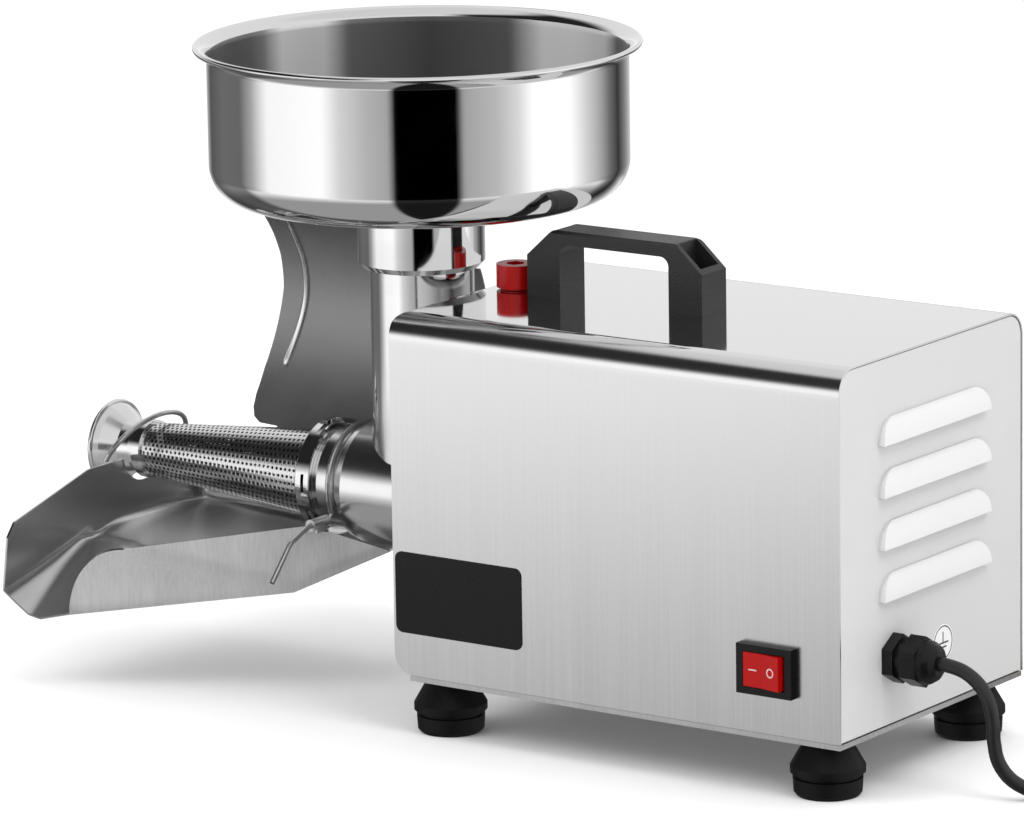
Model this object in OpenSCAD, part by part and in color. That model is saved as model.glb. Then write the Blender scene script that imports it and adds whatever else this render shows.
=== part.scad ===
// Electric tomato strainer: a motor and gearbox in a steel casing drive an auger that presses
// tomatoes through a perforated cone. Units are millimetres, +Z is up and X runs along the shaft.
// The origin is on the floor under the middle of the machine.

/* [Casing] */
// Length of the casing along the shaft
case_l = 266.7; // [262:0.1:275]
// Width of the casing
case_w = 171.6; // [168:0.1:180]
// Height of the casing shell
case_h = 185.5; // [182:0.1:195]
// Height of the shell's lower edge above the floor
case_z = 31.5; // [30:0.5:34]
// Radius of the long top edges
edge_r = 12.5; // [8:0.5:16]
// Thickness of the casing's sheet
sheet_t = 1; // [0.8:0.1:1.5]
// How far the louvers stand out of the end panel
louver_out = 4; // [2:0.5:6]

/* [Feet and handle] */
// Largest radius of a rubber foot
foot_r = 18.7; // [15:0.1:20]
// Distance of the feet from the casing's ends and sides
foot_inset = 20; // [19:1:26]
// Length of the carrying handle
handle_l = 106; // [100:1:112]
// Width of the carrying handle
handle_w = 22; // [18:1:26]
// Height of the carrying handle
handle_h = 35; // [32:1:45]

/* [Strainer head] */
// Height of the auger's axis above the floor
axis_z = 105.5; // [105:0.1:107]
// Outer radius of the barrel
barrel_r = 32; // [31.5:0.1:32]
// Outer radius of the feed tube
feed_r = 27; // [26:0.5:28]
// Outer radius of the cone at its wide end
cone_r1 = 23.5; // [23:0.1:23.5]
// Outer radius of the cone at its narrow end
cone_r2 = 14; // [13.8:0.1:14.5]
// Length of the perforated cone
cone_l = 114.5; // [113:0.5:115]
// Radius of the waste funnel's rim
funnel_r = 24; // [20:0.5:28]
// Reach of the waste funnel's rim from the casing
funnel_reach = 246; // [244:0.5:248]

/* [Hopper] */
// Outer radius of the hopper's rim
rim_r = 115; // [110:1:120]
// Outer radius of the hopper's wall
bowl_r = 108; // [104:1:112]
// Height of the hopper's rim above the floor
rim_z = 340; // [335:1:345]
// Height of the hopper's bottom above the floor
bowl_z = 259.5; // [259:0.5:261]
// Radius between the hopper's wall and bottom
bowl_corner = 19; // [12:1:24]

/* [Gears] */
// Teeth of both pinions
pinion_teeth = 17; // [17:1:18]
// Teeth of both wheels
wheel_teeth = 51; // [48:1:51]

/* [Hidden] */
$fn = 96;
eps = 0.01;
// X of the casing's end that carries the head, so that the origin is under the middle
left_x = -(case_l - 0.4 + louver_out - funnel_reach) / 2;
case_top = case_z + case_h;
in_w = case_w - 2 * sheet_t;
panel_t = 1.2;
tray_z = case_z - 3;
tray_t = 1.5;
tray_h = 17;
tray_top = tray_z + tray_t;
feed_x = -41;
knob_x = 18;
foot_at = [for (x = [foot_inset, case_l - foot_inset])
           for (y = [-case_w / 2 + foot_inset, case_w / 2 - foot_inset]) [x, y]];

// Places along the head, measured from the casing's end
barrel_end = -79;
neck_end = -99.3;
ring_end = -94.6;
groove_x = -91.5;
cone_x = -103.5;
pin_x = -97.2;
pin_at = [120, 240, 0];
cone_end = cone_x - cone_l;
collar_z = 223.5;
collar_top = 258;
neck_r = 27.5;
bore_r = 25.5;
ring_r = 30.5;
tail_r = 14;

// Gear train: the motor's pinion drives a counter shaft, which drives the output wheel
mod_fast = 1;
mod_slow = 1.5;
reach_fast = mod_fast * (pinion_teeth + wheel_teeth) / 2;
reach_slow = mod_slow * (pinion_teeth + wheel_teeth) / 2;
slow_line = 62;
counter_y = reach_slow * cos(slow_line);
counter_z = axis_z + reach_slow * sin(slow_line);
motor_z = counter_z - sqrt(reach_fast * reach_fast - counter_y * counter_y);
fast_line = atan2(motor_z - counter_z, -counter_y);
slow_x = 40;
fast_x = 67;
shaft_r = 10;
counter_r = 7;
motor_shaft_r = 6;
motor_x = 91;
motor_l = 112;
motor_r = 58;
play = 0.05;

// Handle on the top, and the louvers of the end panel: width, end radius, bend of the face
handle_x = 33;
handle_leg = 20;
handle_screw_at = [handle_x + 9.5, handle_x + handle_l - 9.5];
louver_w = 100;
louver_r = 13;
louver_half = louver_w / 2 - louver_r;
louver_drop = louver_out - panel_t;
louver_bend = (louver_r * louver_r + louver_drop * louver_drop) / (2 * louver_drop);
louver_low = 95.5;
louver_pitch = 26;

// Hopper's sheet, rolled edge and spigot
bowl_t = 1.2;
flare = 8;
bead_r = 1.5;
spigot_r = 30.42;

// Splash guard: curved sheet behind the cone, seen along the shaft
guard_t = 1;
guard_y = 50.9;
guard_z = 183;
guard_r_up = 74;
guard_r_down = 100;

// Switch opening, from its middle
switch_x = 225.4;
switch_z = 64;
switch_w = 31.8;
switch_h = 25;
rocker_tilt = 7;
rocker_back = 5;

// Cable gland on the louvered panel
gland_y = -36.5;
gland_z = 65;
gland_x = case_l - 0.4;

// Chute corners: left wall, fold lines of the floor, right wall
chute_wire = 1.4;
lip_low = [-231.4, -114.4, 50.5];
lip_high = [-227.9, -114.4, 79];
lip_round = [-227.4, -109, 86.5];
lip_curve = [[-223.3, -114.4, 45], [-215.1, -114.4, 39.8], [-207.4, -114.4, 38.5]];
left_top = [-227, -47.5, 102.4];
left_fold = [-227, -47.5, 68];
rear_low = [-227, 48, 69.5];
rear_high = [-227, 48, 102.4];
nose = [-187.7, -114.4, 43.6];
brow = [-158, -105, 80];
heel = [-91, -49, 54.2];
tab = [-88, -42, 88];
tongue = [[-83.7, -38.3, 85.2], [-78, -33.9, 84.4]];
tail = [-54, -15, 73.5];
rear_end_low = [-85, 46, 64];
rear_end_high = [-85, 46, 92];
clip_x = -82;
clip_z = 89.6;
clip_front = -45.6;
clip_rear = -31.5;

// Mains cord: exit from the gland, down to the floor and out to a coil
cord_r = 3.5;
cord_from = gland_x + 27;
coil_at = [case_l + 168, 66];
coil_r = 40;
cord_lead = [
    [cord_from - 21, gland_y, gland_z], [cord_from + 3.5, gland_y, gland_z],
    [case_l + 43.5, gland_y, 61.4], [case_l + 53, gland_y, 51.8], [case_l + 56.5, gland_y, 38.5],
    [case_l + 56.7, -36.2, 30.5], [case_l + 59.5, -34, 17.2], [case_l + 67.5, -28.2, 7.4],
    [case_l + 78.5, -20.2, 3.7], [case_l + 91, -10.5, 3.7], [case_l + 104, 1.5, 3.7],
    [case_l + 113.5, 16, 3.7], [case_l + 119.3, 31, 3.7], [case_l + 121.4, 45, 3.7],
    [case_l + 121, 59.5, 3.7]];
cord_tail = [
    [case_l + 126.5, 95, 10.6], [case_l + 130.7, 110.5, 7.5], [case_l + 126.5, 126, 4.6],
    [case_l + 115.2, 137.3, 4.4], [case_l + 101, 142, 6.5], [case_l + 90, 142, 9],
    [case_l + 80, 142, 10]];
plug_x = case_l + 80;
plug_y = 142;

// Moves a piece from the casing's end to its place around the origin
module placed() { translate([left_x, 0, 0]) children(); }

// Turns a shape drawn along Z so that it runs along +X, with its Y up
module along_x() { rotate([90, 0, 90]) children(); }

// Cylinder along +X from x0 to x1
module bar_x(x0, x1, r, y = 0, z = axis_z) {
    translate([x0, y, z]) rotate([0, 90, 0]) cylinder(h = x1 - x0, r = r);
}

// Ring along +X
module ring_x(x0, x1, r, hole, y = 0, z = axis_z) {
    difference() {
        bar_x(x0, x1, r, y, z);
        bar_x(x0 - 1, x1 + 1, hole, y, z);
    }
}

// Turned shape along +X from a list of [x, radius] points
module turned_x(points, z = axis_z) {
    translate([0, 0, z]) rotate([0, 90, 0])
        rotate_extrude() polygon([for (p = points) [p[1], p[0]]]);
}

// Casing's cross section, set in by a distance, with rounded top edges
module arch(inset) {
    r = edge_r - inset;
    half = case_w / 2 - inset;
    top = case_top - inset;
    translate([-half, case_z]) square([2 * half, top - case_z - r]);
    translate([-half + r, case_z]) square([2 * (half - r), top - case_z]);
    for (side = [-1, 1]) translate([side * (half - r), top - r]) circle(r);
}

// Casing's side view with the rounded corners of the head's end
module side_view(inset) {
    low = 11 - inset;
    high = 5.6 - inset / 2;
    union() {
        translate([inset + low, case_z - 5]) square([case_l - low - inset, case_h - inset + 5]);
        translate([inset, case_z + inset + low]) square([20, case_h - 2 * inset - low - high]);
        translate([inset + low, case_z + inset + low]) circle(low);
        translate([inset + high, case_top - inset - high]) circle(high);
        translate([inset + high, case_top - inset - 12]) square([20, 12]);
    }
}

module side_cut(inset) {
    translate([0, case_w, 0]) rotate([90, 0, 0])
        linear_extrude(2 * case_w) side_view(inset);
}

// Louver: a pressed hood with rounded upper corners and its mouth at the lower edge

module louver_shape(r, inner, x0, z0) {
    intersection() {
        translate([x0, 0, 0]) along_x() linear_extrude(20) difference() {
            union() {
                for (side = [-1, 1]) translate([side * louver_half, 0]) circle(r = r);
                translate([-louver_half, -r]) square([2 * louver_half, 2 * r]);
            }
            translate([-louver_w, z0 - 40]) square([2 * louver_w, 40]);
        }
        translate([louver_out - louver_bend, 0, 0]) rotate([90, 0, 0])
            cylinder(h = 2 * louver_w, r = louver_bend - inner, center = true);
    }
}

module casing_shell() {
    color("lightgray") placed() difference() {
        intersection() {
            difference() {
                along_x() linear_extrude(case_l) arch(0);
                translate([-1, 0, 0]) along_x() linear_extrude(case_l + 2) arch(sheet_t);
                translate([-1, -in_w / 2, case_z - 1]) cube([case_l + 2, in_w, 9]);
            }
            side_cut(0);
        }
        translate([knob_x, 0, case_top - 5]) cylinder(h = 10, r = 4.5);
        for (x = handle_screw_at) translate([x, 0, case_top - 5]) cylinder(h = 10, r = 2.6);
        translate([switch_x - 14.5, -case_w / 2 - 2, switch_z - 10.5]) cube([29, 6, 21]);
    }
}

module head_plate() {
    color("silver") placed() difference() {
        intersection() {
            translate([0.6, 0, 0]) along_x() linear_extrude(11) arch(sheet_t);
            side_cut(1.2);
        }
        intersection() {
            translate([0.6, 0, 0]) along_x() linear_extrude(20) arch(sheet_t + 1.2);
            side_cut(2.4);
        }
        translate([1, -case_w / 2, case_z - 6]) cube([20, case_w, 7.5]);
        bar_x(-2, 6, barrel_r + 0.8);
    }
}

module louvered_panel() {
    back = case_l - 0.4 - panel_t;
    low = case_z + 0.6;
    color("whitesmoke") placed() difference() {
        union() {
            difference() {
                translate([back - 10, 0, 0]) along_x() linear_extrude(10 + panel_t) arch(1.5);
                translate([back - 20, 0, 0]) along_x() linear_extrude(20) arch(1.5 + panel_t);
                translate([back - 20, -case_w, 0]) cube([20, 2 * case_w, tray_z + tray_h + 0.3]);
                translate([back - 20, -case_w, 0]) cube([40, 2 * case_w, low]);
            }
            for (i = [0:3]) translate([case_l - 0.4, 0, louver_low + louver_pitch * i])
                louver_shape(louver_r, 0, -panel_t / 2, 0);
        }
        for (i = [0:3]) translate([case_l - 0.4, 0, louver_low + louver_pitch * i]) {
            louver_shape(louver_r - panel_t, panel_t, -5, 0);
            louver_shape(louver_r - panel_t, panel_t, 0, -1);
        }
        bar_x(back - 2, case_l + 2, 8.2, gland_y, gland_z);
    }
}

module base_tray() {
    wide = case_w - 1;
    color("darkgray") placed() difference() {
        union() {
            translate([9, -wide / 2, tray_z]) cube([case_l - 9.5, wide, 2.6]);
            translate([12, -in_w / 2, tray_z]) cube([case_l - 15, in_w, tray_h]);
        }
        translate([13.2, -in_w / 2 + 1.2, tray_top]) cube([case_l - 17.4, in_w - 2.4, 20]);
        for (p = foot_at) translate([p[0], p[1], tray_z - 1]) cylinder(h = 5, r = 3.2);
    }
}

// Rubber foot: a cone on a stepped ring with a sunk screw hole
module foot(index) {
    p = foot_at[index];
    color("black") placed() translate([p[0], p[1], 0]) difference() {
        rotate_extrude() polygon([[0, 0], [15.5, 0], [17, 1.8], [17.4, 9], [16.2, 9.4],
                                  [16.2, 11], [foot_r, 11.6], [foot_r, 15],
                                  [11, tray_z], [0, tray_z]]);
        translate([0, 0, -1]) cylinder(h = 9, r = 7);
        translate([0, 0, -1]) cylinder(h = 40, r = 3.2);
    }
}

module foot_screws() {
    color("gray") placed() for (p = foot_at) translate([p[0], p[1], 0]) {
        translate([0, 0, 4]) cylinder(h = 4, r = 5.5);
        translate([0, 0, 8 - eps]) cylinder(h = tray_top - 3, r = 3);
        translate([0, 0, tray_top]) cylinder(h = 4.8, r = 5.6, $fn = 6);
    }
}

// Handle: chamfered bow with a screw pocket in each sloping end
module carry_handle() {
    ends = [[0, 0], [0, 21], [15, handle_h - 0.5], [17, handle_h], [handle_l - 17, handle_h],
            [handle_l - 15, handle_h - 0.5], [handle_l, 21], [handle_l, 0]];
    gap_w = handle_l - 2 * handle_leg;
    gap_h = handle_h - 7;
    r = 5;
    color("black") placed() translate([handle_x, 0, case_top]) difference() {
        translate([0, handle_w / 2, 0]) rotate([90, 0, 0]) linear_extrude(handle_w) difference() {
            polygon(ends);
            translate([handle_leg, -1]) square([gap_w, gap_h - r + 1]);
            translate([handle_leg + r, -1]) square([gap_w - 2 * r, gap_h + 1]);
            for (x = [handle_leg + r, handle_leg + gap_w - r]) translate([x, gap_h - r]) circle(r);
        }
        for (side = [0, 1]) translate([side * handle_l, 0, 0]) mirror([side, 0, 0]) {
            translate([2.6, -handle_w / 2 + 3, 7]) cube([13.4, handle_w - 6, 40]);
            translate([9.5, 0, -1]) cylinder(h = 10, r = 2.75);
        }
        for (side = [-1, 1]) translate([-1, side * handle_w / 2, handle_h])
            rotate([45, 0, 0]) translate([0, -1.1, -1.1]) cube([handle_l + 2, 2.2, 2.2]);
    }
}

module handle_screws() {
    color("silver") placed() for (x = handle_screw_at) translate([x, 0, 0]) {
        difference() {
            translate([0, 0, case_top + 7]) cylinder(h = 3, r = 4.5);
            translate([0, 0, case_top + 8.6]) cylinder(h = 3, r = 2.2, $fn = 6);
        }
        translate([0, 0, case_top - 8]) cylinder(h = 15 + eps, r = 2.5);
        translate([0, 0, case_top - sheet_t - 4]) cylinder(h = 4, r = 4.6, $fn = 6);
    }
}

module lock_knob() {
    color("red") placed() translate([knob_x, 0, case_top]) difference() {
        union() {
            translate([0, 0, 1.2]) cylinder(h = 12, r = 9.8);
            translate([0, 0, 0.3]) cylinder(h = 1, r = 8);
        }
        translate([0, 0, 8.2]) cylinder(h = 6, r = 5, $fn = 6);
    }
}

module lock_spindle() {
    foot_z = axis_z + barrel_r + 0.1;
    color("gray") placed() translate([knob_x, 0, foot_z])
        cylinder(h = case_top + 0.3 - foot_z, r = 3.5);
}

// Switch frame with a through pocket for the rocker and clip-in body
module switch_bezel() {
    face = -case_w / 2 - 4.5;
    color("black") placed() difference() {
        union() {
            translate([switch_x - switch_w / 2, face, switch_z - switch_h / 2])
                cube([switch_w, 4.5, switch_h]);
            translate([switch_x - 14.2, -case_w / 2, switch_z - 10.2])
                cube([28.4, 24, 20.4]);
        }
        translate([switch_x - 12.1, face - 1, switch_z - 9]) cube([24.2, 15, 18]);
        translate([switch_x, face + rocker_back, switch_z - 9.8])
            cylinder(h = 19.6, r = 1.2 + play);
    }
}

module switch_rocker() {
    face = -case_w / 2 - 4.5;
    color("red") placed() translate([switch_x, face + rocker_back, switch_z]) rotate([0, 0, -rocker_tilt]) {
        translate([0, 0, -8.6]) linear_extrude(17.2)
            polygon([[-11, 3], [-11, -6.5], [0, -5.4], [11, -6.5], [11, 3]]);
        translate([0, 0, -9.7]) cylinder(h = 19.4, r = 1.2);
    }
}

// Threaded gland: hexagon against the panel, nut and dome around the cord
module gland_body() {
    color("black") placed() difference() {
        union() {
            translate([gland_x, gland_y, gland_z]) rotate([0, 90, 0]) cylinder(h = 6, r = 12.6, $fn = 6);
            bar_x(gland_x - 12, gland_x, 8, gland_y, gland_z);
            bar_x(gland_x + 6, gland_x + 10, 9.6, gland_y, gland_z);
        }
        bar_x(gland_x - 13, gland_x + 11, cord_r + 0.03, gland_y, gland_z);
    }
}

module gland_nut() {
    color("black") placed() difference() {
        translate([0, gland_y, 0]) union() {
            translate([gland_x + 10, 0, gland_z]) rotate([0, 90, 0]) cylinder(h = 9, r = 13, $fn = 6);
            turned_x([[gland_x + 19, 0], [gland_x + 19, 11.2], [gland_x + 22, 10.6],
                      [gland_x + 25, 8.8], [gland_x + 27, 6], [gland_x + 27, 0]], gland_z);
        }
        bar_x(gland_x + 9, gland_x + 28, cord_r + 0.03, gland_y, gland_z);
    }
}

module gland_locknut() {
    color("black") placed() translate([gland_x - panel_t - 5, gland_y, gland_z]) rotate([0, 90, 0])
        difference() {
            cylinder(h = 5, r = 12.5, $fn = 6);
            translate([0, 0, -1]) cylinder(h = 7, r = 8.05);
        }
}

function unit(v) = v / norm(v);
function last(list) = len(list) - 1;
function heading(p, i) = unit(p[min(i + 1, last(p))] - p[max(i - 1, 0)]);
function square_to(n, t) = unit(n - (n * t) * t);
// A side vector at each point that turns as little as it can
function side_vectors(p, first) =
    [for (i = 0, n = square_to(first, heading(p, 0)); i < len(p);
          i = i + 1, n = i < len(p) ? square_to(n, heading(p, i)) : n) n];

// Round tube through points, with flat ends
module tube(p, r, sides, first = [0, 1, 0]) {
    side = side_vectors(p, first);
    rings = [for (i = [0:last(p)]) let (t = heading(p, i), a = side[i], b = cross(t, a))
             for (k = [0:sides - 1]) p[i] + r * (cos(360 * k / sides) * a + sin(360 * k / sides) * b)];
    walls = [for (i = [0:last(p) - 1]) for (k = [0:sides - 1]) let (j = (k + 1) % sides)
             [i * sides + k, (i + 1) * sides + k, (i + 1) * sides + j, i * sides + j]];
    start = [[for (k = [0:sides - 1]) k]];
    finish = [[for (k = [sides - 1:-1:0]) last(p) * sides + k]];
    polyhedron(rings, concat(walls, start, finish), convexity = 8);
}

module mains_cord() {
    color("black") placed() {
        tube(cord_lead, cord_r, 10);
        tube(cord_tail, cord_r, 10);
    }
}

module cord_coil() {
    color("black") placed() translate([coil_at[0], coil_at[1], 0.2]) difference() {
        cylinder(h = 14.4, r = coil_r + 14);
        translate([0, 0, -1]) cylinder(h = 20, r = coil_r - 14);
    }
}

module plug_body() {
    color("black") placed() translate([plug_x, plug_y, 10]) rotate([0, -90, 0]) {
        cylinder(h = 14, r1 = 4.6, r2 = 6.5);
        translate([0, 0, 14]) cylinder(h = 20, r = 9.8);
        translate([-9.8, -13, 20]) cube([19.6, 26, 18]);
    }
}

module plug_pins() {
    color("gold") placed() {
        for (side = [-1, 1]) translate([plug_x - 38 - 16, plug_y + side * 6.35 - 0.75, 7])
            cube([16, 1.5, 6.3]);
        translate([plug_x - 38 - 19, plug_y, 15.2]) rotate([0, 90, 0]) cylinder(h = 19, r = 2.4);
    }
}

module motor_can() {
    color("dimgray") placed()
        ring_x(motor_x + 12, motor_x + motor_l - 12, motor_r, motor_r - 2, 0, motor_z);
}

// End bells: spoked covers with a bearing seat
module motor_bell(x, seat) {
    difference() {
        bar_x(x, x + 12, motor_r, 0, motor_z);
        bar_x(seat, seat + 9, 15, 0, motor_z);
        bar_x(x - 1, x + 13, 9, 0, motor_z);
        for (a = [0:45:315]) rotate_about_motor(a) bar_x(x - 1, x + 13, 7, 36, motor_z);
    }
}

module rotate_about_motor(a) {
    translate([0, 0, motor_z]) rotate([a, 0, 0]) translate([0, 0, -motor_z]) children();
}

module motor_bells() {
    color("silver") placed() {
        motor_bell(motor_x, motor_x + 3);
        motor_bell(motor_x + motor_l - 12, motor_x + motor_l - 12);
    }
}

module motor_bearings() {
    color("gray") placed() for (x = [motor_x + 3, motor_x + motor_l - 12])
        ring_x(x, x + 9, 15, motor_shaft_r + play, 0, motor_z);
}

module stator_core() {
    color("sienna") placed() {
        ring_x(motor_x + 26, motor_x + 86, motor_r - 2.1, 31, 0, motor_z);
        ring_x(motor_x + 17, motor_x + 26, 50, 34, 0, motor_z);
        ring_x(motor_x + 86, motor_x + 95, 50, 34, 0, motor_z);
    }
}

module rotor_core() {
    color("darkgray") placed() ring_x(motor_x + 26, motor_x + 86, 30.4, motor_shaft_r, 0, motor_z);
}

module motor_shaft() {
    color("silver") placed() bar_x(fast_x - 1, motor_x + motor_l + 16, motor_shaft_r, 0, motor_z);
}

module motor_fan() {
    x = motor_x + motor_l + 3;
    color("black") placed() difference() {
        union() {
            bar_x(x, x + 12, 13, 0, motor_z);
            bar_x(x, x + 2, 48, 0, motor_z);
            for (a = [0:40:320]) rotate_about_motor(a)
                translate([x + 2, 11, motor_z - 1]) cube([10, 36, 2]);
        }
        bar_x(x - 1, x + 13, motor_shaft_r, 0, motor_z);
    }
}

module motor_cradles() {
    color("gray") placed() for (x = [motor_x + 14, motor_x + motor_l - 26]) difference() {
        translate([x, -42, tray_top]) cube([12, 84, motor_z - 42 - tray_top]);
        bar_x(x - 1, x + 13, motor_r + 0.02, 0, motor_z);
        translate([x - 1, -26, tray_top + 4]) cube([14, 52, 20]);
    }
}

module capacitor() {
    color("white") placed() {
        bar_x(112, 182, 16, 64, 52);
        bar_x(182, 186, 8, 64, 52);
    }
}

module capacitor_clip() {
    color("gray") placed() difference() {
        union() {
            ring_x(138, 152, 17.5, 16.05, 64, 52);
            translate([138, 56, tray_top]) cube([14, 16, 52 - 16.8 - tray_top]);
        }
        bar_x(137, 153, 16.05, 64, 52);
    }
}

// Involute gear outline, a little thin so that the teeth run with play
function involute(a) = tan(a) * 180 / PI - a;
function flank(r, base, half) = half + involute(20) - involute(acos(min(1, base / r)));
function tooth(teeth, m, slack) =
    let (pitch = m * teeth / 2, base = pitch * cos(20), tip = pitch + 0.9 * m,
         root = pitch - 1.25 * m, half = 90 / teeth - slack / pitch * 90 / PI,
         low = max(base, root) + eps, radii = [for (i = [0:4]) low + (tip - low) * i / 4],
         rise = [for (r = radii) [r, -flank(r, base, half)]],
         fall = [for (i = [4:-1:0]) [radii[i], flank(radii[i], base, half)]])
    concat([[root, -flank(low, base, half) - 0.3]], rise, fall, [[root, flank(low, base, half) + 0.3]]);
function gear_outline(teeth, m, phase, slack) =
    [for (k = [0:teeth - 1]) for (p = tooth(teeth, m, slack))
     let (a = p[1] + 360 * k / teeth + phase) [p[0] * cos(a), p[0] * sin(a)]];

module gear_x(x, width, teeth, m, phase, y, z, hole) {
    difference() {
        translate([x, y, z]) along_x() linear_extrude(width)
            polygon(gear_outline(teeth, m, phase, 0.25));
        bar_x(x - 1, x + width + 1, hole, y, z);
    }
}

// Directions between the shafts, seen along the shaft from the head

module output_wheel() {
    color("goldenrod") placed() difference() {
        union() {
            gear_x(slow_x, 14, wheel_teeth, mod_slow, slow_line + 180 / wheel_teeth, 0, axis_z, shaft_r);
            ring_x(slow_x - 2, slow_x + 15, 17, shaft_r);
        }
        for (a = [0:60:300]) translate([0, 0, axis_z]) rotate([a + 12, 0, 0]) translate([0, 0, -axis_z])
            bar_x(slow_x - 1, slow_x + 15, 5, 25);
    }
}

module counter_pinion() {
    color("silver") placed()
        gear_x(slow_x - 0.5, 15, pinion_teeth, mod_slow, slow_line + 180, counter_y, counter_z, counter_r);
}

module counter_wheel() {
    color("goldenrod") placed() difference() {
        gear_x(fast_x, 10, wheel_teeth, mod_fast, fast_line + 180 / wheel_teeth,
               counter_y, counter_z, counter_r);
        for (a = [0:60:300]) translate([0, counter_y, counter_z]) rotate([a, 0, 0])
            translate([0, -counter_y, -counter_z])
                bar_x(fast_x - 1, fast_x + 11, 4, counter_y + 15, counter_z);
    }
}

module counter_shaft() {
    color("silver") placed() bar_x(28, 90, counter_r, counter_y, counter_z);
}

module counter_bearings() {
    color("gray") placed() for (x = [28, 81])
        ring_x(x, x + 9, 13, counter_r + play, counter_y, counter_z);
}

module motor_pinion() {
    color("silver") placed()
        gear_x(fast_x - 1, 12, pinion_teeth, mod_fast, fast_line + 180, 0, motor_z, motor_shaft_r);
}

module output_shaft() {
    color("silver") placed() {
        bar_x(17, 63.5, shaft_r);
        translate([-8, -5.9, axis_z - 5.9]) cube([25.1, 11.8, 11.8]);
    }
}

module output_bearings() {
    color("gray") placed() {
        ring_x(28, 37, 20, shaft_r + play);
        ring_x(56, 64, 18, shaft_r + play);
    }
}

module shaft_seal() {
    color("black") placed() ring_x(22, 26, 18, shaft_r + play);
}

// Outline of the gearbox with its rounded corners
module gearbox_outline() {
    r = 10;
    for (p = [[-46, 70], [-46, 174], [50, 70], [50, 174]]) translate(p) circle(r);
    translate([-46, 60]) square([96, 124]);
    translate([-56, 70]) square([116, 104]);
}

module gear_room() {
    translate([0, axis_z]) circle(42);
    translate([counter_y, counter_z]) circle(29);
}

module gearbox_front() {
    color("lightslategray") placed() difference() {
        translate([26, 0, 0]) along_x() linear_extrude(30) gearbox_outline();
        translate([38, 0, 0]) along_x() linear_extrude(20) gear_room();
        bar_x(28, 40, 20);
        bar_x(25, 30, 12);
        bar_x(28, 40, 13, counter_y, counter_z);
    }
}

module gearbox_web() {
    color("lightslategray") placed() difference() {
        translate([56, 0, 0]) along_x() linear_extrude(9) gearbox_outline();
        bar_x(55, 64, 18);
        bar_x(55, 70, 10, counter_y, counter_z);
    }
}

module gearbox_rear() {
    color("lightslategray") placed() difference() {
        translate([65, 0, 0]) along_x() linear_extrude(26) gearbox_outline();
        translate([64, 0, 0]) along_x() linear_extrude(15) union() {
            translate([counter_y, counter_z]) circle(29);
            translate([0, motor_z]) circle(13);
        }
        bar_x(78, 92, 11, 0, motor_z);
        bar_x(78, 90, 13, counter_y, counter_z);
    }
}

module gearbox_bracket() {
    color("gray") placed() difference() {
        translate([34, -44, tray_top]) cube([48, 88, 60 - tray_top]);
        translate([33, -32, tray_top + 5]) cube([50, 64, 20]);
    }
}

// Socket that takes the barrel of the head, with a flange and a boss for the lock screw
module head_socket() {
    color("silver") placed() difference() {
        union() {
            bar_x(2.5, 26, 40);
            bar_x(18, 26, 50);
            translate([knob_x, 0, axis_z + 30]) cylinder(h = 18, r = 7.5);
        }
        bar_x(-2, 22, barrel_r + 0.1);
        bar_x(20, 27, 18);
        translate([knob_x, 0, axis_z]) cylinder(h = 60, r = 3.5 + play);
    }
}

// Head casting: barrel, neck with bayonet pins, feed tube and hopper collar
module feed_tee() {
    color("silver") placed() difference() {
        union() {
            turned_x([[21.5, 0], [21.5, barrel_r], [barrel_end + 6, barrel_r],
                      [barrel_end + 2.5, barrel_r - 1], [barrel_end + 0.6, barrel_r - 2.6],
                      [barrel_end, neck_r], [groove_x, neck_r], [groove_x, neck_r - 1.1],
                      [ring_end, neck_r - 1.1], [ring_end, neck_r], [neck_end, neck_r],
                      [neck_end, 0]]);
            translate([feed_x, 0, axis_z]) cylinder(h = collar_z + 4 - axis_z, r = feed_r);
            translate([feed_x, 0, collar_z]) {
                cylinder(h = 3, r1 = 30.5, r2 = 33);
                translate([0, 0, 3 - eps]) cylinder(h = collar_top - collar_z - 3, r = 33);
            }
            for (a = pin_at) translate([pin_x, 0, axis_z]) rotate([a, 0, 0])
                translate([0, 0, neck_r - 1]) cylinder(h = 3.4, r = 1.3);
            translate([feed_x, 22, 183]) rotate([-90, 0, 0]) cylinder(h = 28, r = 6);
        }
        bar_x(neck_end - 1, -6, bore_r);
        bar_x(-8, 30, tail_r + play);
        translate([feed_x, 0, axis_z]) cylinder(h = 160, r = 23.5);
        translate([feed_x, 0, collar_z + 4]) cylinder(h = 60, r = 30.5);
        translate([feed_x, 30, 183]) rotate([-90, 0, 0]) cylinder(h = 30, r = 2);
    }
}

// Auger: journal with a square socket, core and a single tapering flight
module auger() {
    pitch = 36;
    start = -8;
    run = -cone_end + start - 3;
    color("silver") placed() {
        difference() {
            union() {
                bar_x(-7, 16, tail_r);
                bar_x(cone_end + 1, -7 + eps, 9);
            }
            translate([-8.2, -6, axis_z - 6]) cube([30, 12, 12]);
        }
        intersection() {
            translate([start, 0, axis_z]) rotate([0, -90, 0])
                linear_extrude(run, twist = 360 * run / pitch, slices = round(run / pitch * 24), $fn = 12)
                    translate([7, -2]) square([19, 4]);
            turned_x([[start + 1, 0], [start + 1, bore_r - 1], [cone_x, bore_r - 4],
                      [cone_end + 1, cone_r2 - 2], [cone_end + 1, 0]]);
        }
    }
}

// Rolled strainer sheet with its mounting flange
module strainer_cone() {
    color("silver") placed() turned_x([
        [neck_end, neck_r - 0.6], [neck_end - 2.6, neck_r - 0.6], [neck_end - 2.6, cone_r1],
        [cone_x, cone_r1], [cone_end, cone_r2], [cone_end, cone_r2 - 0.8],
        [cone_x, cone_r1 - 0.8], [neck_end, cone_r1 - 0.8]]);
}

module cone_collar() {
    color("silver") placed() ring_x(cone_end - 5, cone_end, 15.5, 12.2);
}

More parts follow.
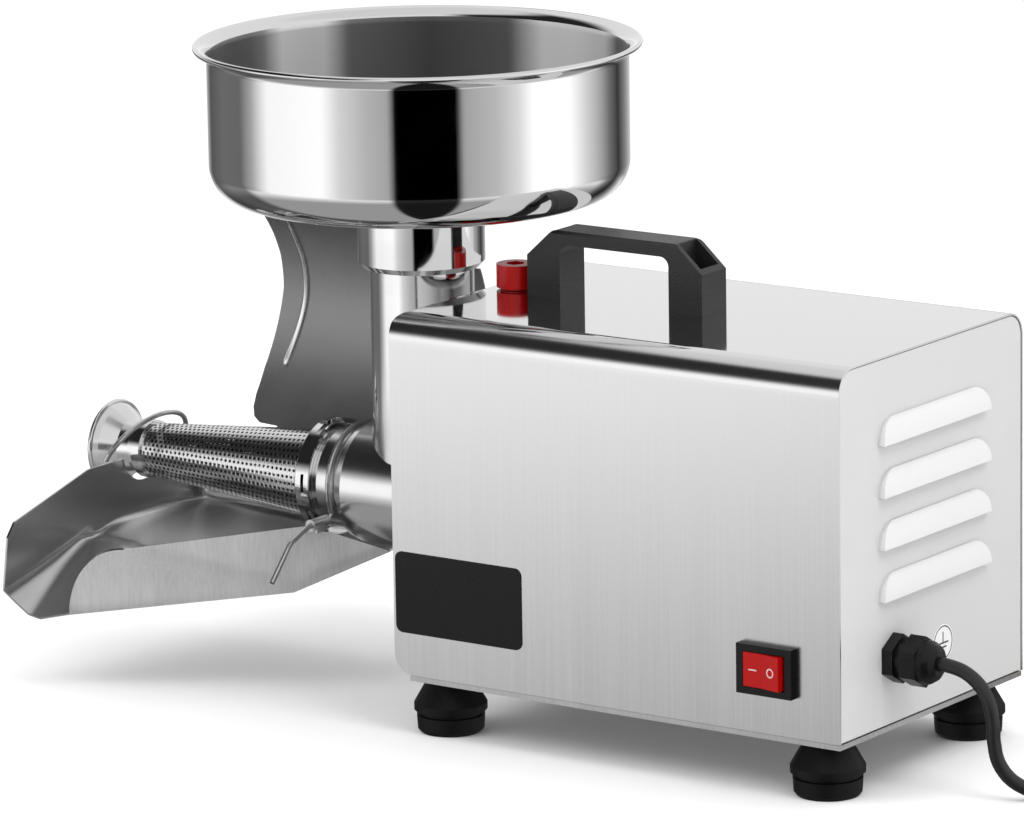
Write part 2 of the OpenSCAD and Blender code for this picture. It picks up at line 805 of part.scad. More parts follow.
module waste_funnel() {
    rim_x = -funnel_reach;
    color("silver") placed() {
        turned_x([[cone_end - 5, 12.2], [cone_end - 5, 13.5], [cone_end - 9, 13.5],
                  [cone_end - 15, 15], [rim_x + 5, 20.6], [rim_x + 1, funnel_r - 1],
                  [rim_x + 1, funnel_r - 2], [rim_x + 6, 19],
                  [cone_end - 14, 13.6], [cone_end - 9, 12.2]]);
        translate([0, 0, axis_z]) rotate([0, 90, 0]) rotate_extrude()
            translate([funnel_r - 1.3, rim_x + 1.3]) circle(1.3, $fn = 32);
    }
}

// Wedge around the axis used to cut the bayonet slots
module wedge_x(x0, x1, from, to) {
    steps = 6;
    translate([0, 0, axis_z]) rotate([90, 0, 90]) translate([0, 0, x0]) linear_extrude(x1 - x0)
        polygon(concat([[0, 0]], [for (i = [0:steps]) let (a = from + (to - from) * i / steps)
                                  [60 * cos(a), 60 * sin(a)]]));
}

// Bayonet ring: the slots run on the pins of the neck and open to the rear
module lock_ring() {
    lip_x = -104;
    inner = neck_r + 0.3;
    color("silver") placed() difference() {
        turned_x([[lip_x, cone_r1 + 1], [lip_x, ring_r - 1.2], [lip_x + 1.2, ring_r],
                  [ring_end, ring_r], [ring_end, inner], [neck_end - 2.7, inner],
                  [neck_end - 2.7, cone_r1 + 1]]);
        for (a = pin_at) {
            wedge_x(pin_x - 1.6, pin_x + 1.6, a + 90 - 4, a + 90 + 34);
            wedge_x(pin_x, ring_end + 1, a + 90 + 26, a + 90 + 34);
            difference() {
                wedge_x(-99.4, ring_end - 1, a + 48, a + 70);
                bar_x(-100, ring_end, ring_r - 1.3);
            }
        }
    }
}

// Points of an arc from angle a0 to a1, as [radius, height]
function arc(r, z, rad, a0, a1, steps) =
    [for (i = [0:steps]) let (a = a0 + (a1 - a0) * i / steps) [r + rad * cos(a), z + rad * sin(a)]];

module hopper() {
    corner_at = bowl_r - bowl_corner;
    corner_z = bowl_z + bowl_corner;
    flare_at = bowl_r - bowl_t + flare;
    flare_z = rim_z - flare;
    spigot_z = collar_z + 4.2;
    color("silver") placed() translate([feed_x, 0, 0]) rotate_extrude($fn = 128) polygon(concat(
        [[spigot_r - 3.42, spigot_z], [spigot_r, spigot_z], [spigot_r, bowl_z]],
        arc(corner_at, corner_z, bowl_corner, -90, 0, 14),
        arc(flare_at, flare_z, flare - bowl_t, 180, 118, 6),
        arc(rim_r - bead_r, rim_z - bead_r, bead_r, 195, 450, 14),
        arc(flare_at, flare_z, flare, 100, 180, 8),
        arc(corner_at, corner_z, bowl_corner - bowl_t, 0, -90, 14),
        [[spigot_r - 3.42, bowl_z + bowl_t]]));
}

// Curved sheet with a pressed rib near its free edge
module guard_sheet(front, back) {
    module arc(r, low, high) {
        intersection() {
            translate([guard_y - r, guard_z]) difference() {
                circle(r + back, $fn = 200);
                circle(r - front, $fn = 200);
            }
            translate([0, low]) square([100, high - low]);
        }
    }
    translate([-200, 0, 0]) along_x() linear_extrude(190) {
        arc(guard_r_up, guard_z, 260);
        arc(guard_r_down, 100, guard_z + eps);
    }
}

module guard_outline() {
    polygon([[-164, 247], [-167, 232], [-167, 208], [-168.5, 190], [-177.5, 146], [-178.6, 133],
             [-177.8, 127], [-175, 122.5], [-170, 120], [-158, 119.5], [-155.5, 112], [-135, 112],
             [-133, 124], [-36, 124], [-36, 214], [-80, 214], [-80, 247]]);
}

module rib_outline(w) {
    mid = [[-151, 236], [-153, 226], [-152.4, 205], [-154, 186], [-160, 164], [-165, 148]];
    polygon(concat([for (p = mid) p - [w / 2, 0]],
                   [for (i = [len(mid) - 1:-1:0]) mid[i] + [w / 2, 0]]));
}

module splash_guard() {
    color("darkgray") placed() difference() {
        union() {
            intersection() {
                guard_sheet(0, guard_t);
                translate([0, 80, 0]) rotate([90, 0, 0]) linear_extrude(90) guard_outline();
            }
            intersection() {
                guard_sheet(1, 0.5);
                translate([0, 80, 0]) rotate([90, 0, 0]) linear_extrude(90) rib_outline(3.4);
            }
        }
        translate([feed_x, 30, guard_z]) rotate([-90, 0, 0]) cylinder(h = 40, r = 2.2);
    }
}

module guard_screw() {
    color("silver") placed() translate([feed_x, 0, guard_z]) rotate([-90, 0, 0]) {
        translate([0, 0, 36]) cylinder(h = guard_y - 36 + 2, r = 1.95);
        translate([0, 0, guard_y + guard_t + 0.05]) cylinder(h = 2.4, r = 4);
    }
}

// Sheet of the chute, as a thin rounded plate between corners
module panel(corners) {
    hull() for (p = corners) translate(p) sphere(0.6, $fn = 10);
}

module chute() {
    steps = 5;
    along = [brow[0] - nose[0], brow[1] - nose[1]];
    lip_edge = concat([lip_low], lip_curve, [nose]);
    front_edge = [for (i = [0:steps]) let (a = 90 * i / steps, s = 1 - cos(a))
                  [nose[0] + along[0] * s, nose[1] + along[1] * s,
                   nose[2] + (brow[2] - nose[2]) * sin(a)]];
    color("silver") placed() {
        panel([lip_low, lip_high, lip_round, left_top, left_fold]);
        difference() {
            panel([left_fold, left_top, rear_high, rear_low]);
            bar_x(-230, -224, 17.5);
        }
        panel([rear_low, rear_high, rear_end_high, rear_end_low]);
        for (i = [0:3]) panel([lip_edge[i], lip_edge[i + 1], left_fold]);
        panel([nose, heel, left_fold]);
        panel([left_fold, heel, rear_low]);
        panel([heel, rear_end_low, rear_low]);
        panel([heel, tail, rear_end_low]);
        for (i = [0:steps - 1]) panel([heel, front_edge[i], front_edge[i + 1]]);
        panel([heel, front_edge[steps], tab]);
        panel([heel, tab, tongue[0], tongue[1], tail]);
    }
}

// Cylinder along +Y from y0 to y1, on the clip's hinge line
module clip_bar(y0, y1, r) {
    translate([clip_x, y1, clip_z]) rotate([90, 0, 0]) cylinder(h = y1 - y0, r = r);
}

// Rolled loop on the chute's right wall that the clip wire turns in
module clip_barrel() {
    color("silver") placed() difference() {
        union() {
            clip_bar(clip_front, clip_rear, 3.1);
            translate([clip_x + 1.7, clip_front + 2, clip_z - 4.1]) cube([1.2, 9, 4.1]);
        }
        clip_bar(clip_front - 1, clip_rear + 1, chute_wire + 0.06);
    }
}

// Wire hoop welded to the chute that passes over the cone's narrow end
module chute_hoop() {
    route = [for (a = [0:10:180]) [-225.8 + 12 * sin(a), -33 * cos(a), 104.6 + 20.5 * sin(a)]];
    color("silver") placed() tube(route, chute_wire, 10, [1, 0, 0]);
}

// Spring wire: lever, straight pin in the rolled loop, and a hoop over the neck
module clip_wire() {
    hug = 30;
    hoop = [for (a = [200:-9:47]) [clip_x, hug * cos(a), axis_z + hug * sin(a)]];
    turn = [[clip_x, clip_rear + 0.6, clip_z], [clip_x, clip_rear + 2.4, clip_z + 0.8],
            [clip_x, clip_rear + 3.7, clip_z + 3]];
    lever = [[clip_x, clip_front - 0.4, clip_z], [clip_x, clip_front - 2.6, clip_z - 0.7],
             [clip_x, -62.5, 83.7], [clip_x, -65, 81.6], [clip_x, -79.4, 66.3]];
    color("silver") placed() {
        clip_bar(clip_front - 1, clip_rear + 1.2, chute_wire);
        tube(concat(turn, hoop), chute_wire, 10, [1, 0, 0]);
        tube(lever, chute_wire, 10, [1, 0, 0]);
    }
}

casing_shell();
head_plate();
louvered_panel();
base_tray();
foot(0);  // foot_front_left
foot(1);  // foot_rear_left
foot(2);  // foot_front_right
foot(3);  // foot_rear_right
foot_screws();
carry_handle();
handle_screws();
lock_knob();
lock_spindle();
switch_bezel();
switch_rocker();
gland_body();
gland_nut();
gland_locknut();
mains_cord();
cord_coil();
plug_body();
plug_pins();
motor_can();
motor_bells();
stator_core();
rotor_core();
motor_shaft();
motor_pinion();
motor_fan();
motor_bearings();
motor_cradles();
capacitor();
capacitor_clip();
gearbox_front();
gearbox_web();
gearbox_rear();
gearbox_bracket();
counter_shaft();
counter_wheel();
counter_pinion();
counter_bearings();
output_wheel();
output_shaft();
output_bearings();
shaft_seal();
head_socket();
feed_tee();
auger();
strainer_cone();
cone_collar();
waste_funnel();
lock_ring();
hopper();
splash_guard();
guard_screw();
chute();
clip_barrel();
chute_hoop();
clip_wire();
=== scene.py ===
"""Looks of the electric tomato strainer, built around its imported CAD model."""
import math

import bmesh
import bpy
from mathutils import Matrix, Vector
from mathutils.geometry import closest_point_on_tri


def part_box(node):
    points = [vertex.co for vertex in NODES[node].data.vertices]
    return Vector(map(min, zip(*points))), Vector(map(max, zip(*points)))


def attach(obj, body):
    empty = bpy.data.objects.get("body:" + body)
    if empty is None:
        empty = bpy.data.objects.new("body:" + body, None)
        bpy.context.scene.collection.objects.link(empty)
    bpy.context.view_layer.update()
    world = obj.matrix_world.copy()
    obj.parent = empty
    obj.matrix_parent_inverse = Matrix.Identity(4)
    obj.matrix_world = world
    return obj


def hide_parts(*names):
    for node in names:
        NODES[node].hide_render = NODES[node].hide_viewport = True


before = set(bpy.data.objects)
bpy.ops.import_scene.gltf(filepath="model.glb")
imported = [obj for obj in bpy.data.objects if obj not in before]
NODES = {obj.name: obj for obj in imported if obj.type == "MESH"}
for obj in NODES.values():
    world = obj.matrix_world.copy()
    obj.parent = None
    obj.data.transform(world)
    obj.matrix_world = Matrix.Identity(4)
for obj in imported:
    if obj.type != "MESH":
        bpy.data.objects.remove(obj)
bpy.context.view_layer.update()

MM = 0.001
EAST, NORTH, UP = Vector((1, 0, 0)), Vector((0, 1, 0)), Vector((0, 0, 1))

# Places that the frame gives, in metres
CASE_LOW, CASE_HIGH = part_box("casing_shell")
CASE_LEFT = CASE_LOW.x
CASE_RIGHT = CASE_HIGH.x
CASE_FRONT = CASE_LOW.y
CASE_TOP = CASE_HIGH.z
AXIS_Z = sum(corner.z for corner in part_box("lock_ring")) / 2
FEED_X = sum(corner.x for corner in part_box("hopper")) / 2


def at(x, y, z):
    """A point measured in millimetres from the casing's left end, on the floor."""
    return Vector((CASE_LEFT + x * MM, y * MM, z * MM))


def new_object(name, data):
    """A new object, linked to the scene."""
    obj = bpy.data.objects.new(name, data)
    bpy.context.scene.collection.objects.link(obj)
    return obj


# Camera: fitted to the casing's edges and the hopper's rim
CAMERA_AT = at(1990.35, -2796.04, 909.1)
AZIMUTH, ELEVATION, ROLL = 35.25, 12.53, -0.92
LENS = 241.0


def make_camera():
    az, el, roll = (math.radians(a) for a in (AZIMUTH, ELEVATION, ROLL))
    back = Vector((math.sin(az) * math.cos(el), -math.cos(az) * math.cos(el), math.sin(el)))
    right = (-back).cross(Vector((0, 0, 1))).normalized()
    up = right.cross(-back)
    tilted_right = math.cos(roll) * right + math.sin(roll) * up
    tilted_up = math.cos(roll) * up - math.sin(roll) * right
    data = bpy.data.cameras.new("camera")
    data.lens = LENS
    data.sensor_width = 36
    data.clip_end = 50
    camera = new_object("camera", data)
    camera.matrix_world = Matrix((
        (tilted_right.x, tilted_up.x, back.x, CAMERA_AT.x),
        (tilted_right.y, tilted_up.y, back.y, CAMERA_AT.y),
        (tilted_right.z, tilted_up.z, back.z, CAMERA_AT.z),
        (0, 0, 0, 1)))
    bpy.context.scene.camera = camera


make_camera()


# Shader building
class Value:
    """A node's output that takes part in Python arithmetic."""

    def __init__(self, shader, socket):
        self.shader = shader
        self.socket = socket

    def _math(self, operation, *terms):
        return self.shader.node("ShaderNodeMath", {"operation": operation}, dict(enumerate(terms)))

    def __add__(self, other):
        return self._math("ADD", self, other)

    __radd__ = __add__

    def __sub__(self, other):
        return self._math("SUBTRACT", self, other)

    def __rsub__(self, other):
        return self._math("SUBTRACT", other, self)

    def __mul__(self, other):
        return self._math("MULTIPLY", self, other)

    __rmul__ = __mul__

    def above(self, limit):
        return self._math("GREATER_THAN", self, limit)

    def below(self, limit):
        return self._math("LESS_THAN", self, limit)

    def around(self, other):
        """Share of a turn, from 0 to 1, of the direction (self, other)."""
        return other._math("ARCTAN2", other, self) * (0.5 / math.pi) + 0.5

    def smooth(self, start, end, low=0.0, high=1.0):
        return self.shader.node(
            "ShaderNodeMapRange", {"interpolation_type": "SMOOTHSTEP"},
            {"Value": self, "From Min": start, "From Max": end, "To Min": low, "To Max": high})


class Shader:
    """A material built from its principled shader outwards."""

    def __init__(self, name, **fixed):
        self.material = bpy.data.materials.new(name)
        self.material.use_nodes = True
        self.tree = self.material.node_tree
        self.surface = self.tree.nodes["Principled BSDF"]
        for key, value in fixed.items():
            socket = self.surface.inputs[key.replace("_", " ").title().replace("Ior", "IOR")]
            socket.default_value = (*value, 1) if isinstance(value, tuple) else value

    def node(self, kind, settings=None, inputs=None, output=0):
        made = self.tree.nodes.new(kind)
        for key, value in (settings or {}).items():
            if key == "stops":
                self._stops(made.color_ramp, value)
            else:
                setattr(made, key, value)
        for key, value in (inputs or {}).items():
            self._feed(made.inputs[key], value)
        return Value(self, made.outputs[output])

    def _feed(self, socket, value):
        if isinstance(value, Value):
            self.tree.links.new(value.socket, socket)
        else:
            socket.default_value = value

    @staticmethod
    def _stops(ramp, stops):
        ramp.elements[0].position = stops[0][0]
        ramp.elements[-1].position = stops[-1][0]
        for place, _ in stops[1:-1]:
            ramp.elements.new(place)
        for element, (_, tone) in zip(ramp.elements, stops):
            element.color = (tone, tone, tone, 1) if isinstance(tone, (int, float)) else (*tone, 1)

    def set(self, **links):
        for key, value in links.items():
            self._feed(self.surface.inputs[key.replace("_", " ").title()], value)
        return self

    def place(self, scale=(1, 1, 1)):
        """Object coordinates stretched by scale."""
        here = self.node("ShaderNodeTexCoord", output="Object")
        return self.node("ShaderNodeMapping", None, {"Vector": here, "Scale": scale})

    def split(self, axis):
        here = self.node("ShaderNodeTexCoord", output="Object")
        return self.node("ShaderNodeSeparateXYZ", None, {"Vector": here}, output=axis)

    def noise(self, scale, stretch=(1, 1, 1), detail=2.0, roughness=0.5):
        return self.node("ShaderNodeTexNoise", None, {
            "Vector": self.place(stretch), "Scale": scale, "Detail": detail, "Roughness": roughness})

    def streaks(self, grain):
        """Fine scratches, and the same mixed with broad ones."""
        fine = self.noise(900, grain, 3)
        return fine, fine * 0.6 + self.noise(60, grain, 2) * 0.4

    def haze(self):
        """Broad, faint wiping marks."""
        return self.noise(26, (1, 1, 1.6), 4)

    def mix(self, factor, first, second):
        return self.node(
            "ShaderNodeMix", {"data_type": "RGBA"},
            {"Factor": factor, 6: (*first, 1) if isinstance(first, tuple) else first,
             7: (*second, 1) if isinstance(second, tuple) else second}, output=2)

    def bump(self, height, distance, strength=1.0):
        return self.node("ShaderNodeBump", None, {
            "Height": height, "Distance": distance, "Strength": strength})


STEEL = (0.80, 0.80, 0.80)
SCRATCH = 0.000004


def brushed(name, tone, grain, roughness, metallic=1.0):
    """Brushed steel whose fine scratches run along the short axis of grain."""
    shader = Shader(name, metallic=metallic)
    fine, streak = shader.streaks(grain)
    dark = tuple(0.86 * t for t in tone)
    shader.set(base_color=shader.mix(streak.smooth(0.3, 0.7), dark, tone),
               roughness=streak.smooth(0.25, 0.75, roughness - 0.05, roughness + 0.05),
               normal=shader.bump(fine, SCRATCH))
    return shader


def casing_steel():
    """Sheet brushed upwards on the sides, turning to a mirror finish over the top bend."""
    shader = Shader("casing_brushed_steel", metallic=1.0)
    fine, streak = shader.streaks((1, 1, 0.012))
    wipe = shader.noise(14, detail=3)
    bend = shader.split(2).smooth(CASE_TOP - 0.016, CASE_TOP - 0.010)
    top = shader.split(2).smooth(CASE_TOP - 0.003, CASE_TOP - 0.0004)
    sides = streak.smooth(0.25, 0.75, 0.225, 0.275)
    mirror = wipe.smooth(0.3, 0.75, 0.045, 0.085)
    side_tone = shader.mix(streak.smooth(0.3, 0.7), (0.745, 0.745, 0.75), (0.79, 0.79, 0.795))
    shader.set(base_color=shader.mix(bend, side_tone, (0.80, 0.80, 0.805)),
               roughness=sides + bend * (0.19 - sides) + top * (mirror - 0.19),
               normal=shader.bump(fine * (1 - bend), SCRATCH))
    return shader


def polished(name, tone, roughness):
    """Mirror polished steel with faint wiping marks."""
    shader = Shader(name, metallic=1.0)
    haze = shader.haze()
    shader.set(base_color=shader.mix(haze.smooth(0.35, 0.7), tone, tuple(0.96 * t for t in tone)),
               roughness=haze.smooth(0.3, 0.75, roughness, roughness + 0.035))
    return shader


def head_steel():
    """Mirror polish on the upright tube, satin on the barrel."""
    shader = Shader("head_polished_steel", metallic=1.0)
    haze = shader.haze()
    high = shader.split(2).smooth(AXIS_Z + 0.034, AXIS_Z + 0.05)
    mirror = haze.smooth(0.3, 0.75, 0.05, 0.085)
    satin = haze.smooth(0.3, 0.75, 0.17, 0.24)
    shader.set(base_color=shader.mix(haze.smooth(0.35, 0.7), STEEL, (0.74, 0.74, 0.74)),
               roughness=satin + high * (mirror - satin))
    return shader


def bowl_steel():
    """Mirror polish on the hopper's outside, satin inside with painted reflections in bands round the axis.
    """
    shader = Shader("bowl_polished_steel", metallic=1.0)
    haze = shader.haze()
    across, along, height = shader.split(0) - FEED_X, shader.split(1), shader.split(2)
    radius = shader.node("ShaderNodeMath", {"operation": "SQRT"}, {0: across * across + along * along})
    wall = radius.below((BOWL_R - BOWL_T / 2) * MM) * height.above((BOWL_Z + BOWL_CORNER) * MM)
    under = height.below((BOWL_Z + BOWL_CORNER) * MM) * height.above((BOWL_Z + BOWL_T / 2) * MM)
    floor = under * radius.below((BOWL_R - BOWL_CORNER) * MM)
    inside = wall + floor
    mirror = haze.smooth(0.3, 0.75, 0.035, 0.07)
    around = across.around(along)
    bands = shader.node("ShaderNodeValToRGB", {"stops": INNER_REFLECTION_TONES}, {"Fac": around})
    # Painted reflections: the inside takes its colour from the band tones round the axis and is only 40%
    # metallic.
    shader.set(base_color=shader.mix(inside, STEEL, bands), metallic=1 - inside * 0.6,
               roughness=mirror + inside * (0.30 - mirror))
    return shader


def plastic(name, tone, roughness, grain=0.0, size=900):
    shader = Shader(name)
    speck = shader.noise(size, detail=3)
    patch = shader.noise(22)
    shader.set(base_color=shader.mix(patch.smooth(0.2, 0.8), tone, tuple(0.93 * t for t in tone)),
               roughness=speck.smooth(0.3, 0.7, roughness - 0.05, roughness + 0.08))
    if grain:
        shader.set(normal=shader.bump(speck, grain))
    return shader


def panel_lacquer():
    """Pale lacquer, painted lighter on the louvers' hoods, which light makes paler in the photo."""
    shader = Shader("white_panel_lacquer")
    speck = shader.noise(500, detail=3)
    patch = shader.noise(22)
    hood = shader.split(0).smooth(CASE_RIGHT + 0.0003, CASE_RIGHT + 0.0018)
    flat = shader.mix(patch.smooth(0.2, 0.8), (0.59, 0.59, 0.59), (0.572, 0.572, 0.572))
    shader.set(base_color=shader.mix(hood, flat, (0.70, 0.70, 0.70)),
               roughness=speck.smooth(0.3, 0.7, 0.37, 0.50),
               normal=shader.bump(speck, 0.000004))
    return shader


# Hopper, in millimetres as part.scad has it
BOWL_R, BOWL_T, BOWL_Z, BOWL_CORNER = 108, 1.2, 259.5, 19
RIM_R, RIM_Z, FLARE, BEAD_R = 115, 340, 8, 1.5
SHARP_BOWL = 35
SPIGOT_R, SPIGOT_IN, SPIGOT_Z = 30.42, 27, 227.7
# Painted tones that stand for reflections on the satin inside, by share of a turn, from the side
# away from the casing. Fitted to greys read in the photo.
INNER_REFLECTION_TONES = ((0.0, 0.14), (0.10, 0.09), (0.58, 0.08), (0.645, 0.10), (0.67, 0.74), (0.745, 0.80),
               (0.775, 0.12), (0.84, 0.06), (0.905, 0.14), (0.925, 0.66), (0.965, 0.68), (0.985, 0.20),
               (1.0, 0.14))
MATERIALS = {
    "casing": casing_steel(),
    "satin": brushed("satin_sheet_steel", (0.70, 0.70, 0.70), (1, 1, 0.03), 0.36),
    # Painted shade: the splash guard's sheet steel is coloured darker, 0.44 against 0.70 for the satin sheet
    "guard": brushed("guard_sheet_steel", (0.44, 0.44, 0.44), (1, 0.05, 1), 0.52),
    # Painted light and shade on the one chute sheet: lighter and part diffuse outside, darker mirror steel
    # inside
    "chute_out": brushed("chute_outer_steel", (0.72, 0.72, 0.72), (1, 1, 0.03), 0.42, metallic=0.55),
    "chute_in": polished("chute_inner_steel", (0.66, 0.66, 0.66), 0.24),
    "sieve": brushed("sieve_steel", (0.78, 0.78, 0.78), (0.05, 1, 1), 0.20),
    # Near-black painted shade for the cone's inside and its hole walls
    "sieve_in": plastic("sieve_inner_shade", (0.015, 0.015, 0.015), 0.6),
    "polish": polished("polished_steel", STEEL, 0.035),
    "spun": polished("spun_steel", STEEL, 0.15),
    "head": head_steel(),
    "bowl": bowl_steel(),
    "zinc": plastic("zinc_plating", (0.60, 0.61, 0.62), 0.35),
    "panel": panel_lacquer(),
    "handle": plastic("handle_grained_plastic", (0.014, 0.014, 0.015), 0.40, 0.00022, 1000),
    "black": plastic("black_plastic", (0.005, 0.005, 0.005), 0.32, 0.000006),
    "rubber": plastic("foot_rubber", (0.003, 0.003, 0.003), 0.5, 0.00001),
    "cord": plastic("cord_sheath", (0.010, 0.010, 0.011), 0.38, 0.000008),
    "red": plastic("red_knob_plastic", (0.62, 0.004, 0.004), 0.28, 0.000006),
    "rocker": plastic("rocker_red_plastic", (0.36, 0.003, 0.003), 0.14),
    "motor": plastic("motor_enamel", (0.05, 0.055, 0.06), 0.45),
    "copper": plastic("winding_varnish", (0.35, 0.12, 0.05), 0.4),
    "cast": plastic("cast_alloy", (0.50, 0.51, 0.52), 0.5, 0.00003),
    "white": plastic("capacitor_white", (0.80, 0.80, 0.78), 0.35),
    "brass": plastic("plug_brass", (0.78, 0.58, 0.26), 0.3),
    "plate": plastic("plate_black_film", (0.004, 0.004, 0.004), 0.30),
    "sticker": plastic("earth_disc_white", (0.82, 0.82, 0.82), 0.4),
    "ink": plastic("earth_lines_ink", (0.02, 0.02, 0.02), 0.5),
    "mark": plastic("rocker_mark_ink", (0.62, 0.45, 0.45), 0.4),
}
for metal in ("zinc", "cast", "brass"):
    MATERIALS[metal].surface.inputs["Metallic"].default_value = 1.0
for dull in ("red", "rubber", "plate", "rocker", "black"):
    MATERIALS[dull].surface.inputs["Specular IOR Level"].default_value = 0.25
NODE_FINISH = {
    "casing": "casing_shell",
    "satin": "head_plate base_tray chute strainer_cone chute_hoop clip_wire clip_barrel",
    "guard": "splash_guard",
    "polish": "lock_ring cone_collar auger head_socket",
    "spun": "waste_funnel",
    "head": "feed_tee",
    "bowl": "hopper",
    "zinc": "foot_screws handle_screws lock_spindle motor_cradles capacitor_clip gearbox_bracket "
            "guard_screw motor_bearings counter_bearings output_bearings counter_wheel counter_pinion "
            "output_wheel motor_pinion motor_shaft counter_shaft output_shaft",
    "panel": "louvered_panel",
    "handle": "carry_handle",
    "black": "switch_bezel gland_body gland_nut gland_locknut plug_body motor_fan",
    "rubber": "foot_front_left foot_rear_left foot_front_right foot_rear_right shaft_seal",
    "cord": "mains_cord cord_coil",
    "red": "lock_knob",
    "rocker": "switch_rocker",
    "motor": "motor_can rotor_core",
    "copper": "stator_core",
    "cast": "motor_bells gearbox_front gearbox_web gearbox_rear",
    "white": "capacitor",
    "brass": "plug_pins",
}


def dress(obj, finish):
    obj.data.materials.clear()
    obj.data.materials.append(MATERIALS[finish].material)


for finish, names in NODE_FINISH.items():
    for name in names.split():
        dress(NODES[name], finish)


def add_piece(name, mesh, body, finish, *replaced, smooth=True):
    """Links a finished mesh as a piece that rides on a body and may stand for CAD nodes."""
    obj = new_object(name, mesh)
    if smooth:
        mesh.shade_smooth()
    dress(obj, finish)
    if replaced:
        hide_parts(*replaced)
    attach(obj, body)


# Mains cord: the route of part.scad in millimetres, with the coil's turns wound by a loop
CORD_R = 3.5
GLAND_Y, GLAND_Z = -36.5, 65
COIL_X, COIL_Y, COIL_R = 168, 66, 40
CASE_L = (CASE_RIGHT - CASE_LEFT) / MM
CORD_EXIT = (CASE_L + 26.6, GLAND_Y, GLAND_Z)
COIL_TURNS, COIL_FROM, COIL_TO = 6, 188, 150
LAY_Z, LAYER_RISE = 3.7, 7.2


def cord_route():
    lead = [(30.1, GLAND_Y, GLAND_Z), (43.5, GLAND_Y, 61.4), (53, GLAND_Y, 51.8), (56.5, GLAND_Y, 38.5),
            (56.7, -36.2, 30.5), (59.5, -34, 17.2), (67.5, -28.2, 7.4), (78.5, -20.2, 3.7),
            (91, -10.5, 3.7), (104, 1.5, 3.7), (113.5, 16, 3.7), (119.3, 31, 3.7), (121.4, 45, 3.7)]
    tail = [(130.7, 110.5, 7.5), (126.5, 126, 4.6), (115.2, 137.3, 4.4), (101, 142, 6.5),
            (90, 142, 9), (80, 142, 10)]
    steps = COIL_TURNS * 16 + 2
    turns = COIL_TURNS + (COIL_FROM - COIL_TO) / 360
    coil = []
    for i in range(steps + 1):
        turn = turns * i / steps
        angle = math.radians(COIL_FROM - 360 * turn)
        r = COIL_R - COIL_TURNS / 2 * CORD_R + 2 * CORD_R * min(abs(turn - COIL_TURNS / 2), COIL_TURNS / 2)
        layer = smooth_between(turn, COIL_TURNS / 2 - 0.12, COIL_TURNS / 2 + 0.12)
        coil.append((COIL_X + r * math.cos(angle), COIL_Y + r * math.sin(angle),
                     LAY_Z + LAYER_RISE * layer))
    return [CORD_EXIT] + [(CASE_L + x, y, z) for x, y, z in lead + coil + tail]


def smooth_between(value, start, end):
    t = min(1, max(0, (value - start) / (end - start)))
    return t * t * (3 - 2 * t)


def make_cord():
    curve = bpy.data.curves.new("mains_lead", "CURVE")
    curve.dimensions = "3D"
    curve.bevel_depth = CORD_R * MM
    curve.bevel_resolution = 6
    curve.resolution_u = 6
    curve.use_fill_caps = True
    points = [at(*p) for p in cord_route()]
    spline = curve.splines.new("BEZIER")
    spline.bezier_points.add(len(points) - 1)
    for knot, point in zip(spline.bezier_points, points):
        knot.co = point
        knot.handle_left_type = knot.handle_right_type = "AUTO"
    obj = new_object("mains_lead", curve)
    obj.data.materials.append(MATERIALS["cord"].material)
    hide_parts("mains_cord", "cord_coil")
    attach(obj, "base")


make_cord()


# Perforated cone: strips along the shaft, each with a staggered line of round holes
CONE_START, CONE_END = -103.5, -218
CONE_R1, CONE_R2 = 23.5, 14
CONE_STRIPS, CONE_HOLES, HOLE_R = 40, 37, 0.86
CONE_SHEET, CONE_SHADE_DEPTH = 0.8, 0.25
NECK_END, FLANGE_R, FLANGE_T = -99.3, 26.9, 2.6


def cone_radius(run):
    return CONE_R1 + (CONE_R2 - CONE_R1) * run / (CONE_START - CONE_END)


